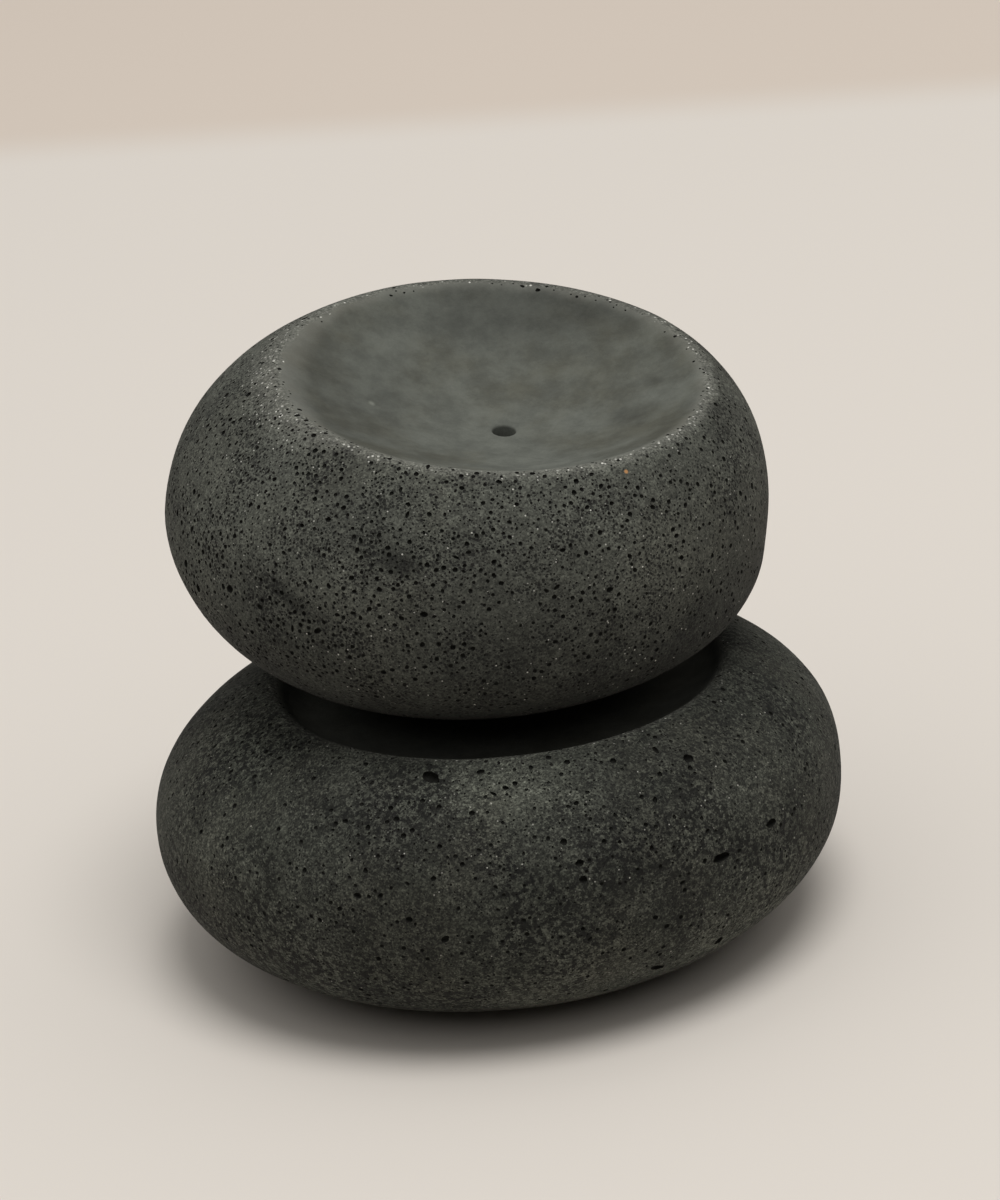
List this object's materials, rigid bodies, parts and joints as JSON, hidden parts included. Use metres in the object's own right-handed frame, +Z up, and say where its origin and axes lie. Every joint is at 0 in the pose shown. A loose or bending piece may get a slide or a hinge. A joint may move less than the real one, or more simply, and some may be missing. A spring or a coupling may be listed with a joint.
{
  "type": "incense holder",
  "caption": "Stacked pebble incense holder: a round cast stone with an ash dish and stick hole, resting loose in the shallow seat of a wider stone.",
  "frame": {"origin": "middle of the lower stone's flat foot, on the surface that it stands on", "axes": "+Z up, the front of the holder faces -Y, +X to its right"},
  "size_m": [0.091, 0.091, 0.0812],
  "materials": {
    "lower_concrete": "matt dark grey cast concrete with open air pores and a worn, speckled lip",
    "upper_concrete": "matt dark grey cast concrete with open air pores outside and a smoother, softly mottled dish"
  },
  "bodies": {
    "lower_stone": {"lower_stone": "lower_concrete"},
    "upper_stone": {"upper_stone": "upper_concrete"}
  },
  "joints": [
    {"name": "upper_stone_lift", "type": "slide", "parent": "lower_stone", "child": "upper_stone", "axis": [0, 0, 1], "range_m": [0, 0.06]}
  ]
}
